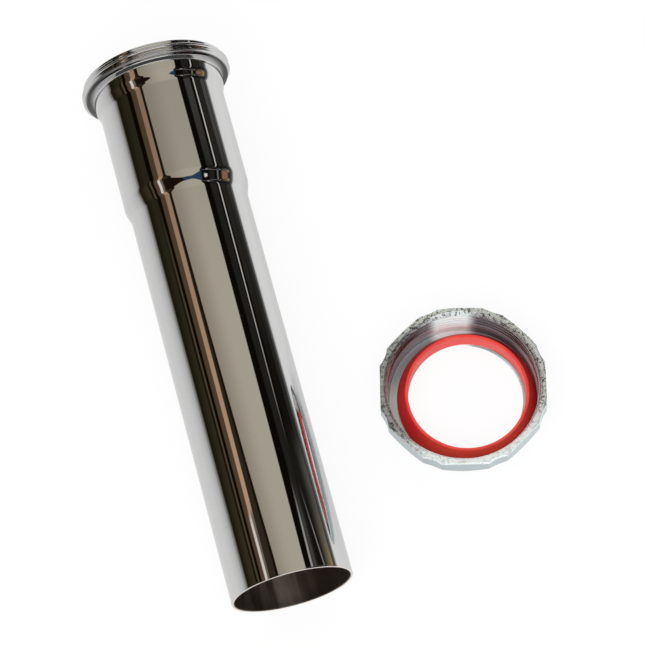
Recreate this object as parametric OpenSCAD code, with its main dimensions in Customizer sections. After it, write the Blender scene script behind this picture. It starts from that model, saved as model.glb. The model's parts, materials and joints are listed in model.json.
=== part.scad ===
// Basin waste tail pipe: a belled tube with a rolled-thread collar, its slip nut and its washer.
// The pipe lies on its collar and its plain end. The nut lies beside it, mouth up, and holds the washer.
// Lengths are in millimetres. The pipe, the nut and the washer are each drawn upright, then laid in place.

/* [Tail pipe] */
// Overall length, from the plain end to the lip of the collar
pipe_length = 149; // [110:1:400]
// Outside diameter of the plain tube
tube_od = 31.75; // [28:0.05:36]
// Wall of the tube
tube_wall = 0.75; // [0.5:0.05:1]
// Bevel on the edges of the plain end
end_break = 0.15; // [0.05:0.05:0.2]

/* [Bell] */
// Distance from the middle of the shoulder to the lip of the collar
bell_depth = 39; // [25:1:80]
// Radial gap between the bell's bore and a tube of the same outside diameter
socket_gap = 0.275; // [0.1:0.025:0.6]
// Length of the curved shoulder between the tube and the bell
shoulder_length = 5; // [3:0.5:8]

/* [Collar] */
// Distance between neighbouring crests of the thread
thread_pitch = 1.6; // [1.2:0.05:2.2]
// Height of the thread's crests over its roots
thread_depth = 0.8; // [0.4:0.05:1]
// Number of crests on the collar
collar_turns = 2; // [1:1:5]
// Radial step from the bell's outside to the roots of the thread
collar_step = 2.75; // [2:0.05:4]
// Length of the curved neck under the collar
neck_length = 1.5; // [1:0.25:6]
// Length of the plain lip above the thread
lip_length = 1; // [0.8:0.1:2]
// Rounding of the lip's outer edge
lip_round = 0.45; // [0.2:0.05:0.6]

/* [Slip nut] */
// Height of the nut
nut_height = 12.7; // [11:0.1:20]
// Wall of the nut between the thread's roots and a flat
nut_wall = 1.05; // [0.8:0.05:2]
// Radial gap between the nut's thread and the collar's
thread_gap = 0.2; // [0.1:0.05:0.4]
// Thickness of the flange under the washer
flange_thickness = 2; // [1.5:0.1:3]
// Radial gap between the flange's hole and the tube
flange_gap = 0.075; // [0.05:0.025:0.5]
// Step in from the thread's crests to the recess
recess_step = 0.25; // [0.1:0.05:0.5]
// Height of the plain recess between the flange and the thread
recess_height = 3; // [1.5:0.1:4]
// Height of the round skirt above the recess's top
skirt_cover = 0.8; // [0.3:0.1:1.5]
// Step in from a flat to the top of the skirt
skirt_step = 0.35; // [0.1:0.05:0.5]
// How far the skirt draws in from its top to the base
skirt_taper = 1.7; // [1:0.1:1.8]
// Height of the bevel that joins the skirt to the octagon's corners
skirt_bevel = 2; // [1:0.1:2.5]
// Width of the scoop cut into each corner
scoop_width = 5.1; // [3:0.1:6]
// Depth of the scoop below its two points
scoop_depth = 0.45; // [0.2:0.05:0.8]
// Bevel round the rim, outside
rim_bevel = 0.7; // [0.3:0.1:1.2]
// Bevel at the mouth of the thread
mouth_bevel = 0.9; // [0.85:0.05:1.4]

/* [Washer] */
// Radial squeeze of the washer on the tube
washer_squeeze = 0.325; // [0.1:0.025:1]
// Height of the washer
washer_height = 5.4; // [3:0.1:6]
// Height of the washer's upright outer edge
washer_edge = 0.8; // [0.6:0.1:2]
// Width of the flat land on top of the washer
washer_land = 0.8; // [0.4:0.1:1.5]
// Radial play between the washer and the nut's recess
washer_play = 1.15; // [0.3:0.05:1.5]
// Small rounding of the washer's sharp edges
washer_break = 0.2; // [0.1:0.05:0.3]

/* [Layout] */
// Distance from the pipe's axis to the nut's centre
nut_side = 57; // [45:0.1:120]
// Distance from the pipe's plain end to the nut's centre
nut_along = 43; // [0:0.1:150]
// Turn of the nut about its own axis, in degrees
nut_turn = 8.5; // [0:0.1:45]
// Direction in which the washer has slid in the nut, in degrees
washer_slide_angle = -18; // [-180:1:180]
// Gap left between the washer and the wall that it has slid to
washer_rest_gap = 0.05; // [0.05:0.05:0.2]

/* [Hidden] */
$fn = 128;
cut_over = 1;

// Radii of the pipe
tube_r = tube_od / 2;
bore_r = tube_r - tube_wall;
socket_r = tube_r + socket_gap;
bell_r = socket_r + tube_wall;
root_r = bell_r + collar_step;
crest_r = root_r + thread_depth;
cup_r = root_r - tube_wall;

// Places along the pipe, from the plain end
shoulder_start = pipe_length - bell_depth - shoulder_length / 2;
thread_top = pipe_length - lip_length;
thread_start = thread_top - collar_turns * thread_pitch;
neck_start = thread_start - neck_length;

// Shares of the thread's pitch, from one root to the next
flank_share = 0.22;
crest_share = 0.32;
root_share = 1 - crest_share - 2 * flank_share;

// Steps in the curves of the outlines
shoulder_steps = 10;
neck_steps = 8;
lip_steps = 4;

// Lie of the pipe: it touches the floor at the edge of its plain end and at its first crest
first_crest = thread_start + (root_share / 2 + flank_share) * thread_pitch;
lie = atan((crest_r - tube_r) / (first_crest - end_break));
axis_height = tube_r * cos(lie) - end_break * sin(lie);

// Radii of the nut
nut_minor_r = root_r + thread_gap;
nut_major_r = crest_r + thread_gap;
nut_flat_r = nut_major_r + nut_wall;
nut_sides = 8;
half_side = 180 / nut_sides;
scoop_half = scoop_width / 2;
// A scoop's points lie on the flats, this far from the nut's axis along the corner's direction
point_out = (nut_flat_r - scoop_half * sin(half_side)) / cos(half_side);
point_r = norm([point_out, scoop_half]);
scoop_r = (scoop_half * scoop_half + scoop_depth * scoop_depth) / (2 * scoop_depth);
skirt_top_r = nut_flat_r - skirt_step;
skirt_base_r = skirt_top_r - skirt_taper;
base_round = flange_thickness / 4;
skirt_height = flange_thickness + recess_height + skirt_cover;
octagon_start = skirt_height + skirt_bevel;
hole_r = tube_r + flange_gap;
recess_r = nut_minor_r - recess_step;
thread_room = nut_height - mouth_bevel - flange_thickness - recess_height;
// As many whole turns as the room allows, which end at the mouth's bevel
nut_turns = floor(thread_room / thread_pitch);
thread_floor = nut_height - mouth_bevel - nut_turns * thread_pitch;

// Radii and place of the washer
washer_in_r = tube_r - washer_squeeze;
washer_out_r = recess_r - washer_play;
washer_shift = washer_play - washer_rest_gap;

// The footprint, which sets the origin at the middle of the base
outline_tips = [
    for (k = [0:nut_sides - 1], side = [-1, 1])
        point_r * cos(nut_turn + 2 * half_side * k + side * asin(scoop_half / point_r))
];
x_low = -crest_r;
x_high = nut_side + max(outline_tips);
y_low = -(tube_r - end_break) * sin(lie);
y_high = pipe_length * cos(lie) + (root_r - lip_round) * sin(lie);
middle = [(x_low + x_high) / 2, (y_low + y_high) / 2, 0];

// One turn of the thread's outline, from the middle of a root to the middle of the next
function thread_turn(low_r, high_r, start) = [
    [low_r, start + root_share / 2 * thread_pitch],
    [high_r, start + (root_share / 2 + flank_share) * thread_pitch],
    [high_r, start + (root_share / 2 + flank_share + crest_share) * thread_pitch],
    [low_r, start + (1 - root_share / 2) * thread_pitch]
];

function thread_outline(low_r, high_r, start, turns) = [
    for (k = [0:turns - 1], p = thread_turn(low_r, high_r, start + k * thread_pitch)) p
];

// A smooth step in radius between two places on the axis, level at both ends
function s_curve(r1, r2, start, length, steps) = [
    for (k = [0:steps])
        [r1 + (r2 - r1) * (1 - cos(180 * k / steps)) / 2, start + length * k / steps]
];

// A quarter of an ellipse that leaves the wall level and ends square to it
function flare(r1, r2, start, length, steps) = [
    for (k = [0:steps])
        [r1 + (r2 - r1) * (1 - cos(90 * k / steps)), start + length * sin(90 * k / steps)]
];

// A quarter round from the outside of the lip to its top
function lip_curve(r, top, round, steps) = [
    for (k = [0:steps])
        [r - round * (1 - cos(90 * k / steps)), top - round * (1 - sin(90 * k / steps))]
];

function reverse(list) = [for (k = [len(list) - 1:-1:0]) list[k]];

function pipe_outside() = concat(
    [[tube_r - end_break, 0], [tube_r, end_break]],
    s_curve(tube_r, bell_r, shoulder_start, shoulder_length, shoulder_steps),
    flare(bell_r, root_r, neck_start, neck_length, neck_steps),
    thread_outline(root_r, crest_r, thread_start, collar_turns),
    lip_curve(root_r, pipe_length, lip_round, lip_steps)
);

function pipe_inside() = concat(
    [[bore_r + end_break, 0], [bore_r, end_break]],
    s_curve(bore_r, socket_r, shoulder_start, shoulder_length, shoulder_steps),
    flare(socket_r, cup_r, neck_start, neck_length + tube_wall, neck_steps),
    [[cup_r, pipe_length]]
);

module tail_pipe() {
    color([0.78, 0.79, 0.8])
        translate([0, 0, axis_height] - middle)
        rotate([lie - 90, 0, 0])
        rotate_extrude()
        polygon(concat(pipe_outside(), reverse(pipe_inside())));
}

// The round form that the octagon is trimmed to: a tapered skirt below and a bevelled rim above
module nut_envelope() {
    rotate_extrude()
        polygon([
            [0, 0],
            [skirt_base_r - base_round, 0],
            [skirt_base_r, base_round],
            [skirt_top_r, skirt_height],
            [point_r, octagon_start],
            [point_r, nut_height - rim_bevel],
            [point_r - rim_bevel, nut_height],
            [0, nut_height]
        ]);
}

module nut_octagon() {
    cylinder(h = nut_height, r = nut_flat_r / cos(half_side), $fn = nut_sides);
}

module corner_scoops() {
    for (k = [0:nut_sides - 1])
        rotate([0, 0, 2 * half_side * k])
        translate([point_out - scoop_depth + scoop_r, 0, -cut_over])
        cylinder(h = nut_height + 2 * cut_over, r = scoop_r);
}

// The hollow of the nut: hole, recess, thread and bevelled mouth
module nut_hollow() {
    rotate_extrude()
        polygon(concat(
            [[0, -cut_over], [hole_r, -cut_over], [hole_r, flange_thickness]],
            [[recess_r, flange_thickness], [recess_r, thread_floor], [nut_minor_r, thread_floor]],
            thread_outline(nut_minor_r, nut_major_r, thread_floor, nut_turns),
            [[nut_minor_r, nut_height - mouth_bevel], [nut_minor_r + mouth_bevel, nut_height]],
            [[nut_minor_r + mouth_bevel, nut_height + cut_over], [0, nut_height + cut_over]]
        ));
}

module slip_nut() {
    color([0.72, 0.76, 0.77])
        translate([nut_side, nut_along, 0] - middle)
        rotate([0, 0, nut_turn])
        difference() {
            intersection() {
                nut_octagon();
                nut_envelope();
            }
            corner_scoops();
            nut_hollow();
        }
}

module washer() {
    color([0.9, 0.2, 0.16])
        translate([nut_side, nut_along, flange_thickness] - middle)
        rotate([0, 0, washer_slide_angle])
        translate([washer_shift, 0, 0])
        rotate_extrude()
        polygon([
            [washer_in_r, 0],
            [washer_out_r - washer_break, 0],
            [washer_out_r, washer_break],
            [washer_out_r, washer_edge],
            [washer_in_r + washer_land, washer_height],
            [washer_in_r + washer_break, washer_height],
            [washer_in_r, washer_height - washer_break]
        ]);
}

tail_pipe();
slip_nut();
washer();
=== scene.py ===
"""Looks of a chromed basin waste tail pipe with its slip nut and washer, lying on a pale studio floor."""

import math
from collections import namedtuple

import bpy
import numpy as np
from mathutils import Euler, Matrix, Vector, noise
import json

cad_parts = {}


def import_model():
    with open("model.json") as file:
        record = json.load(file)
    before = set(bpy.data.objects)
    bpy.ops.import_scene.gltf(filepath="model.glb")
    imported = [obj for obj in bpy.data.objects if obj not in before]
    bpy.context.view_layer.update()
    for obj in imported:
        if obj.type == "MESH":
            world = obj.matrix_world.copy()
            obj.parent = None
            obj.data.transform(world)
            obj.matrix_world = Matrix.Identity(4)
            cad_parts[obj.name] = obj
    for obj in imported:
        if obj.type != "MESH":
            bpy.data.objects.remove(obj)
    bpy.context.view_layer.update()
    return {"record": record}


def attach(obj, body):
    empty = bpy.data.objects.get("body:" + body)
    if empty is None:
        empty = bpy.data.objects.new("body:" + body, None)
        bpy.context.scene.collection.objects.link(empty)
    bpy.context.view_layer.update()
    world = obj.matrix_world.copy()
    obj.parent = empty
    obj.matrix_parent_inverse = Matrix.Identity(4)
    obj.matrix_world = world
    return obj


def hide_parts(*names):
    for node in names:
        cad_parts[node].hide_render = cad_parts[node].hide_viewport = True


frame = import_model()
mounts = {m["name"]: m for m in frame["record"]["mounts"]}

# Lengths of the part are in millimetres and become metres when a mesh is made
MM = 0.001
FULL_TURN = 2.0 * math.pi

# Camera, in metres and degrees. Its lens and sensor are in millimetres
CAMERA_PLACE = (-0.050277, -0.287511, 0.707683)
CAMERA_TURN = (22.3024, 2.1929, -14.7588)
CAMERA_LENS = 158.893
CAMERA_SENSOR = 36.0
CAMERA_CLIP = (0.01, 20.0)

# Tail pipe. The trims keep the rounded skin inside the solid
PIPE_LENGTH = 149.0
TUBE_WALL = 0.75
END_BREAK = 0.15
END_ROUND = 0.12
INNER_ROUND = 0.2
LIP_TRIM = 0.003
CREST_TRIM = 0.02
FLOOR_TRIM = 0.003
BELL_DEPTH = 39.0
SHOULDER_LENGTH = 5.0
THREAD_PITCH = 1.6
THREAD_DEPTH = 0.8
COLLAR_TURNS = 2
COLLAR_STEP = 2.75
NECK_LENGTH = 1.5
LIP_LENGTH = 1.0
LIP_ROUND = 0.45
# Place of a crest of the thread on the top side of the pipe
COLLAR_CREST = 143.9
# Where the thread rises and dies away, from its start and from its top
THREAD_RISE = (-0.1, 0.45)
THREAD_FALL = (-0.25, 0.25)
# Slopes up the outside of the neck, as (distance walked, degrees): a slight swell, then a steep face
NECK_SWELL = (
    (0.0, 0.0), (0.5, 7.5), (1.0, 13.5), (1.5, 17.7), (1.9, 18.9), (2.3, 17.7), (2.8, 13.5), (3.3, 7.5))
NECK_FACE = ((3.8, 4.0), (5.7, 4.0), (6.1, 78.0), (7.5, 78.0), (8.1, 0.0))

# Rings of points along the pipe, and the distances that they keep from one form to the next
PIPE_SIDES = 320
OUTER_END_ROWS = (0.4, 1.0, 2.5)
INNER_END_ROWS = (2.5, 1.0, 0.5)
TUBE_ROWS_START = 6.0
TUBE_CLEAR = 1.0
SHOULDER_LAP = 0.5
BELL_CLEAR = 1.5
NECK_CLEAR = 0.4
THREAD_CLEAR = 0.08
LIP_CLEAR = 0.05
CUP_CLEAR = 0.1
INNER_CLEAR = 0.6
NECK_STEPS = 90

# Slip nut
NUT_HEIGHT = 12.7
NUT_WALL = 1.05
THREAD_GAP = 0.2
FLANGE_THICKNESS = 2.0
RECESS_STEP = 0.25
RECESS_HEIGHT = 3.0
RECESS_FILLET = 0.25
SKIRT_COVER = 0.8
SKIRT_STEP = 0.35
SKIRT_TAPER = 1.7
SKIRT_BEVEL = 2.0
BASE_ROUND = 0.5
HOLE_ROUND = 0.2
SCOOP_WIDTH = 5.1
SCOOP_DEPTH = 0.45
RIM_BEVEL = 0.7
MOUTH_BEVEL = 0.9
EDGE_BLEND = 0.16
NUT_TURN = 8.5
NUT_CORNERS = 8
# Where the nut's thread dies away and the recess steps in, from the recess's top
NUT_THREAD_FALL = (-0.05, 0.3)
RECESS_EDGE = (-0.1, 0.05)

# Rings of points on the nut: single heights, and (first, last, count) for even ones
NUT_SIDES = 720
NUT_BASE_ROWS = (0.0, 0.06, 0.16, 0.3, BASE_ROUND, 0.8)
NUT_SKIRT_ROWS = (1.4, 4.8, 6)
NUT_BEVEL_ROWS = (5.0, 7.6, 20)
NUT_WALL_START = 7.9
NUT_WALL_CLEAR = 0.25
NUT_RIM_CLEAR = 0.1
NUT_MOUTH_CLEAR = 0.06
NUT_RIM_SHARES = (0.12, 0.97, 6)
NUT_HOLE_ROWS = (1.4, 1.0, 0.6)

# Cast unevenness of the nut: scales per millimetre, depths in millimetres
WAVE_SCALE = 0.35
CHEW_SCALE = 2.6
FINE_CHEW_SCALE = 5.2
FINE_CHEW_SHARE = 0.6
WAVE_DEPTH = 0.02
CHEW_INWARD = 0.05
CHEW_SUNK = 0.07
CHEW_ZONE = (0.6, 0.2)
RIPPLE_SHIFT = (17.3, 5.1, 9.7)

# Washer
WASHER_HEIGHT = 5.4
WASHER_EDGE = 0.8
WASHER_LAND = 0.8
WASHER_PLAY = 1.15
WASHER_ROUND = 0.28
WASHER_CROWN = 0.3
WASHER_BRIM = 0.2
WASHER_SIDES = 256

# Radii that follow from the mounts and the sizes
TUBE_R = mounts["plain_tail"]["dims"]["r_mm"]
BORE_R = mounts["waterway"]["dims"]["r_mm"]
SOCKET_R = mounts["bell_socket"]["dims"]["r_mm"]
CREST_R = mounts["collar_thread"]["dims"]["r_mm"]
HOLE_R = mounts["flange_hole"]["dims"]["r_mm"]
WASHER_IN_R = mounts["washer_hole"]["dims"]["r_mm"]
BELL_R = SOCKET_R + TUBE_WALL
ROOT_R = BELL_R + COLLAR_STEP
CUP_R = ROOT_R - TUBE_WALL
NUT_MINOR_R = ROOT_R + THREAD_GAP
NUT_MAJOR_R = CREST_R + THREAD_GAP
NUT_FLAT_R = NUT_MAJOR_R + NUT_WALL
SKIRT_TOP_R = NUT_FLAT_R - SKIRT_STEP
SKIRT_BASE_R = SKIRT_TOP_R - SKIRT_TAPER
RECESS_R = NUT_MINOR_R - RECESS_STEP
WASHER_OUT_R = RECESS_R - WASHER_PLAY

# Places along the pipe from its plain end, and a height in the nut
SHOULDER_START = PIPE_LENGTH - BELL_DEPTH - SHOULDER_LENGTH / 2
SHOULDER_END = SHOULDER_START + SHOULDER_LENGTH
THREAD_TOP = PIPE_LENGTH - LIP_LENGTH
THREAD_START = THREAD_TOP - COLLAR_TURNS * THREAD_PITCH
NECK_START = THREAD_START - NECK_LENGTH
RECESS_TOP = FLANGE_THICKNESS + RECESS_HEIGHT

# Faces of the pipe take one of three materials
CHROME_FACES = 0
BORE_FACES = 1
CUT_END_FACES = 2
ROUND_STEPS = 4


def mount_place(name):
    return Vector(mounts[name]["pos_m"])


def pipe_direction():
    """The pipe's axis, from its plain end to its collar."""
    return Vector(mounts["bell_socket"]["axis"]).normalized()


def pipe_end():
    """The centre of the plain end, in metres."""
    half = mounts["plain_tail"]["dims"]["length_mm"] / 2
    return mount_place("plain_tail") - pipe_direction() * (half + END_BREAK) * MM


def nut_centre():
    place = mount_place("flange_hole")
    return Vector((place.x, place.y, 0.0))


# Meshes made of rings

def smooth(value, low, high):
    """0 below low and 1 above high, with a smooth rise between them."""
    share = np.clip((value - low) / (high - low), 0.0, 1.0)
    return share * share * (3.0 - 2.0 * share)


def soft_min(first, second, width):
    """The lesser of two, with the change from one to the other rounded off."""
    share = np.clip(0.5 + 0.5 * (second - first) / width, 0.0, 1.0)
    return second * (1.0 - share) + first * share - width * share * (1.0 - share)


def arc(centre_r, centre_z, radius, first, last, steps):
    """Points (radius, height) on a round edge, between two angles in degrees."""
    angles = np.radians(np.linspace(first, last, steps + 1))
    return np.stack([centre_r + radius * np.cos(angles), centre_z + radius * np.sin(angles)], axis=1)


def ring_angles(sides):
    return np.linspace(0.0, FULL_TURN, sides, endpoint=False)


def ring_mesh(name, points, slots=None):
    """A closed skin from a grid of points, joined end to end in both directions."""
    rows, columns = points.shape[:2]
    index = np.arange(rows * columns).reshape(rows, columns)
    right = np.roll(index, -1, axis=1)
    above = np.roll(index, -1, axis=0)
    corner = np.roll(above, -1, axis=1)
    faces = np.stack([index, right, corner, above], axis=-1).reshape(-1, 4)
    mesh = bpy.data.meshes.new(name)
    mesh.vertices.add(rows * columns)
    mesh.vertices.foreach_set("co", (points.reshape(-1) * MM).astype(np.float32))
    mesh.loops.add(faces.size)
    mesh.loops.foreach_set("vertex_index", faces.reshape(-1).astype(np.int32))
    mesh.polygons.add(len(faces))
    mesh.polygons.foreach_set("loop_start", np.arange(0, faces.size, 4, dtype=np.int32))
    mesh.update(calc_edges=True)
    mesh.validate()
    if slots is not None:
        mesh.polygons.foreach_set("material_index", np.repeat(slots, columns).astype(np.int32))
    mesh.shade_smooth()
    piece = bpy.data.objects.new(name, mesh)
    bpy.context.scene.collection.objects.link(piece)
    return piece


def turned(radii, heights, angles, centre, first, second, axis):
    """Grid points from radii (rows by columns) and heights (rows), about an axis, in millimetres."""
    spokes = np.outer(np.cos(angles), np.array(first)) + np.outer(np.sin(angles), np.array(second))
    along = heights[:, None, None] * np.array(axis)[None, None, :]
    return np.array(centre) / MM + radii[:, :, None] * spokes[None, :, :] + along


def plain_rows(profile, columns):
    """Heights and radii of a section that is the same all the way round."""
    return profile[:, 1], np.repeat(profile[:, 0][:, None], columns, axis=1)


def ripple(points, scale, seed):
    """Smooth noise from -1 to 1 for points in millimetres. The seed moves it to another place."""
    flat = points.reshape(-1, 3)
    shift = Vector([seed * step for step in RIPPLE_SHIFT])
    values = [noise.noise(Vector(p) * scale + shift) for p in flat]
    return np.array(values).reshape(points.shape[:-1])


# Tail pipe

def s_curve(value, start, length, low, high):
    """A smooth step in radius, level at both ends."""
    share = np.clip((value - start) / length, 0.0, 1.0)
    return low + (high - low) * (1.0 - np.cos(np.pi * share)) / 2.0


def flare(value, start, length, rise):
    """A quarter of an ellipse that leaves the wall level and ends square to it."""
    share = np.clip((value - start) / length, 0.0, 1.0)
    return rise * (1.0 - np.sqrt(1.0 - share * share))


def flare_places(start, length, steps):
    """Places along a flare that keep its points evenly spaced round the curve."""
    return start + length * np.sin(np.radians(np.linspace(0.0, 90.0, steps + 1)))


def neck_curve():
    """Places and radii up the outside of the neck, walked by its slopes."""
    walked, slopes = np.array(NECK_SWELL + NECK_FACE).T
    step = walked[-1] / NECK_STEPS
    turn = np.radians(np.interp((np.arange(NECK_STEPS) + 0.5) * step, walked, slopes))
    places = np.concatenate([[0.0], np.cumsum(np.cos(turn))])
    radii = np.concatenate([[0.0], np.cumsum(np.sin(turn))])
    scale = (ROOT_R - BELL_R) / radii[-1]
    return THREAD_START + (places - places[-1]) * scale, BELL_R + radii * scale


def outside_rows():
    """Places and plain radii up the outside of the pipe, from the plain end to the lip."""
    end = arc(TUBE_R - END_ROUND - FLOOR_TRIM, END_ROUND + FLOOR_TRIM, END_ROUND, -90, 0, ROUND_STEPS)
    tube = np.linspace(TUBE_ROWS_START, SHOULDER_START - TUBE_CLEAR, 32)
    shoulder = np.linspace(SHOULDER_START - SHOULDER_LAP, SHOULDER_END + SHOULDER_LAP, 34)
    neck, neck_radii = neck_curve()
    bell = np.linspace(SHOULDER_END + BELL_CLEAR, neck[0] - NECK_CLEAR, 12)
    body = np.concatenate([OUTER_END_ROWS, tube, shoulder, bell])
    body_radii = s_curve(body, SHOULDER_START, SHOULDER_LENGTH, TUBE_R, BELL_R)
    thread = np.linspace(THREAD_START + THREAD_CLEAR, PIPE_LENGTH - LIP_ROUND - LIP_CLEAR, 58)
    lip = arc(ROOT_R - LIP_ROUND, PIPE_LENGTH - LIP_TRIM - LIP_ROUND, LIP_ROUND, 0, 90, 6)
    places = np.concatenate([end[:, 1], body, neck, thread, lip[:, 1]])
    radii = np.concatenate([end[:, 0], body_radii, neck_radii, np.full(len(thread), ROOT_R), lip[:, 0]])
    return places, radii


def inside_rows():
    """Places and radii down the inside of the pipe, from the lip to the plain end."""
    lip = arc(CUP_R + END_ROUND, PIPE_LENGTH - LIP_TRIM - END_ROUND, END_ROUND, 90, 180, ROUND_STEPS)
    cup = np.linspace(PIPE_LENGTH - INNER_CLEAR, THREAD_START + TUBE_WALL + CUP_CLEAR, 5)
    neck_reach = NECK_LENGTH + TUBE_WALL
    neck = flare_places(NECK_START, neck_reach, 12)[::-1]
    bell = np.linspace(NECK_START - INNER_CLEAR, SHOULDER_END + INNER_CLEAR, 6)
    shoulder = np.linspace(SHOULDER_END, SHOULDER_START, 16)
    tube = np.linspace(SHOULDER_START - TUBE_CLEAR, TUBE_ROWS_START, 16)
    wall = np.concatenate([cup, neck, bell, shoulder, tube, INNER_END_ROWS])
    wall_radii = s_curve(wall, SHOULDER_START, SHOULDER_LENGTH, BORE_R, SOCKET_R)
    wall_radii = wall_radii + flare(wall, NECK_START, neck_reach, CUP_R - SOCKET_R)
    end = arc(BORE_R + INNER_ROUND, INNER_ROUND + FLOOR_TRIM, INNER_ROUND, 180, 270, ROUND_STEPS)
    places = np.concatenate([lip[:, 1], wall, end[:, 1]])
    radii = np.concatenate([lip[:, 0], wall_radii, end[:, 0]])
    return places, radii


def collar_thread(places, angles):
    """Height of the rolled thread over its roots: a right-hand helix that runs out at both ends."""
    turn = (places[:, None] - COLLAR_CREST) / THREAD_PITCH - angles[None, :] / FULL_TURN
    start = smooth(places, THREAD_START + THREAD_RISE[0], THREAD_START + THREAD_RISE[1])
    stop = 1.0 - smooth(places, THREAD_TOP + THREAD_FALL[0], THREAD_TOP + THREAD_FALL[1])
    rolled = 0.5 + 0.5 * np.cos(FULL_TURN * turn)
    return (THREAD_DEPTH - CREST_TRIM) * rolled * (start * stop)[:, None]


def pipe_slots(outside_count, count):
    """Chrome outside and over the lip, then the bore. The last ring of faces closes the cut end."""
    slots = np.full(count, CHROME_FACES, dtype=np.int32)
    slots[outside_count + ROUND_STEPS:] = BORE_FACES
    slots[-1] = CUT_END_FACES
    return slots


def make_tail_pipe():
    out_places, out_radii = outside_rows()
    in_places, in_radii = inside_rows()
    angles = ring_angles(PIPE_SIDES)
    outer = out_radii[:, None] + collar_thread(out_places, angles)
    inner = np.repeat(in_radii[:, None], PIPE_SIDES, axis=1)
    direction = pipe_direction()
    across = Vector((1.0, 0.0, 0.0))
    upward = across.cross(direction).normalized()
    radii = np.concatenate([outer, inner])
    places = np.concatenate([out_places, in_places])
    points = turned(radii, places, angles, pipe_end(), upward, across, direction)
    pipe = ring_mesh("chromed_tail_pipe", points, pipe_slots(len(out_places), len(places)))
    pipe.data.materials.append(chrome_material())
    pipe.data.materials.append(bore_material())
    pipe.data.materials.append(cut_end_material())
    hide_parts("tail_pipe")
    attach(pipe, "root")


# Slip nut

def octagon_reach(angles):
    """Distance from the nut's axis to its eight flats and the scoops cut in their corners."""
    half_side = math.pi / NUT_CORNERS
    scoop_half = SCOOP_WIDTH / 2
    point_out = (NUT_FLAT_R - scoop_half * math.sin(half_side)) / math.cos(half_side)
    scoop_r = (scoop_half ** 2 + SCOOP_DEPTH ** 2) / (2 * SCOOP_DEPTH)
    scoop_centre = point_out - SCOOP_DEPTH + scoop_r
    from_corner = (angles + half_side) % (2 * half_side) - half_side
    from_flat = angles % (2 * half_side) - half_side
    flat = NUT_FLAT_R / np.cos(from_flat)
    inside = scoop_r ** 2 - (scoop_centre * np.sin(from_corner)) ** 2
    scoop = scoop_centre * np.cos(from_corner) - np.sqrt(np.clip(inside, 0.0, None))
    reach = np.where(inside > 0.0, np.minimum(flat, scoop), flat)
    return reach, math.hypot(point_out, scoop_half)


def envelope_reach(heights, point_r):
    """Radius of the round form that trims the octagon: skirt, the bevel above it and the rim's bevel."""
    skirt = RECESS_TOP + SKIRT_COVER
    level = [0.0, BASE_ROUND, skirt, skirt + SKIRT_BEVEL, NUT_HEIGHT - RIM_BEVEL, NUT_HEIGHT]
    low = [SKIRT_BASE_R - BASE_ROUND, SKIRT_BASE_R, SKIRT_TOP_R]
    high = [point_r, point_r, point_r - RIM_BEVEL]
    return np.interp(heights, level, low + high)


def nut_heights():
    """Heights of the rings up the outside of the nut."""
    skirt = np.linspace(*NUT_SKIRT_ROWS)
    bevel = np.linspace(*NUT_BEVEL_ROWS)
    wall = np.linspace(NUT_WALL_START, NUT_HEIGHT - RIM_BEVEL - NUT_WALL_CLEAR, 6)
    rim = np.linspace(NUT_HEIGHT - RIM_BEVEL - NUT_RIM_CLEAR, NUT_HEIGHT, 9)
    return np.concatenate([NUT_BASE_ROWS, skirt, bevel, wall, rim])


def nut_outside(angles):
    """Heights and radii of the octagon, trimmed to its round form."""
    octagon, point_r = octagon_reach(angles)
    heights = nut_heights()
    envelope = envelope_reach(heights, point_r)
    return heights, soft_min(octagon[None, :], envelope[:, None], EDGE_BLEND)


def nut_rim_rows(outer_r):
    """The flat rim, from the outside edge inward."""
    mouth_r = NUT_MINOR_R + MOUTH_BEVEL
    shares = np.linspace(*NUT_RIM_SHARES)
    rim = outer_r[None, :] + (mouth_r - outer_r[None, :]) * shares[:, None]
    return np.full(len(shares), NUT_HEIGHT), rim


def nut_thread_rows(angles):
    """The inside of the nut down to the recess. The thread runs out through the bevelled mouth."""
    heights = np.linspace(NUT_HEIGHT - NUT_MOUTH_CLEAR, RECESS_TOP + RECESS_EDGE[0], 62)
    turn = (heights[:, None] - RECESS_TOP) / THREAD_PITCH - angles[None, :] / FULL_TURN
    stop = smooth(heights, RECESS_TOP + NUT_THREAD_FALL[0], RECESS_TOP + NUT_THREAD_FALL[1])
    groove = (NUT_MAJOR_R - NUT_MINOR_R) * (0.5 - 0.5 * np.cos(FULL_TURN * turn))
    bevel = NUT_MINOR_R + MOUTH_BEVEL - (NUT_HEIGHT - heights)
    radii = np.maximum(NUT_MINOR_R + groove * stop[:, None], bevel[:, None])
    below = 1.0 - smooth(heights, RECESS_TOP + RECESS_EDGE[0], RECESS_TOP + RECESS_EDGE[1])
    return heights, radii - RECESS_STEP * below[:, None]


def nut_floor_profile():
    """Recess wall, flange, hole and underside, as (radius, height) from the recess down and out."""
    wall = [[RECESS_R, h] for h in np.linspace(RECESS_TOP - 0.3, FLANGE_THICKNESS + 0.4, 6)]
    fillet_z = FLANGE_THICKNESS + RECESS_FILLET
    fillet = arc(RECESS_R - RECESS_FILLET, fillet_z, RECESS_FILLET, 0, -90, 4)
    seat = [[r, FLANGE_THICKNESS] for r in np.linspace(RECESS_R - 0.8, HOLE_R + 0.5, 4)]
    edge = arc(HOLE_R + HOLE_ROUND, FLANGE_THICKNESS - HOLE_ROUND, HOLE_ROUND, 90, 180, 3)
    hole = [[HOLE_R, h] for h in NUT_HOLE_ROWS]
    lower = arc(HOLE_R + HOLE_ROUND, HOLE_ROUND, HOLE_ROUND, 180, 270, 3)
    base = [[r, 0.0] for r in np.linspace(HOLE_R + 0.6, SKIRT_BASE_R - BASE_ROUND - 0.4, 4)]
    return np.concatenate([wall, fillet, seat, edge, hole, lower, base])


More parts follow.
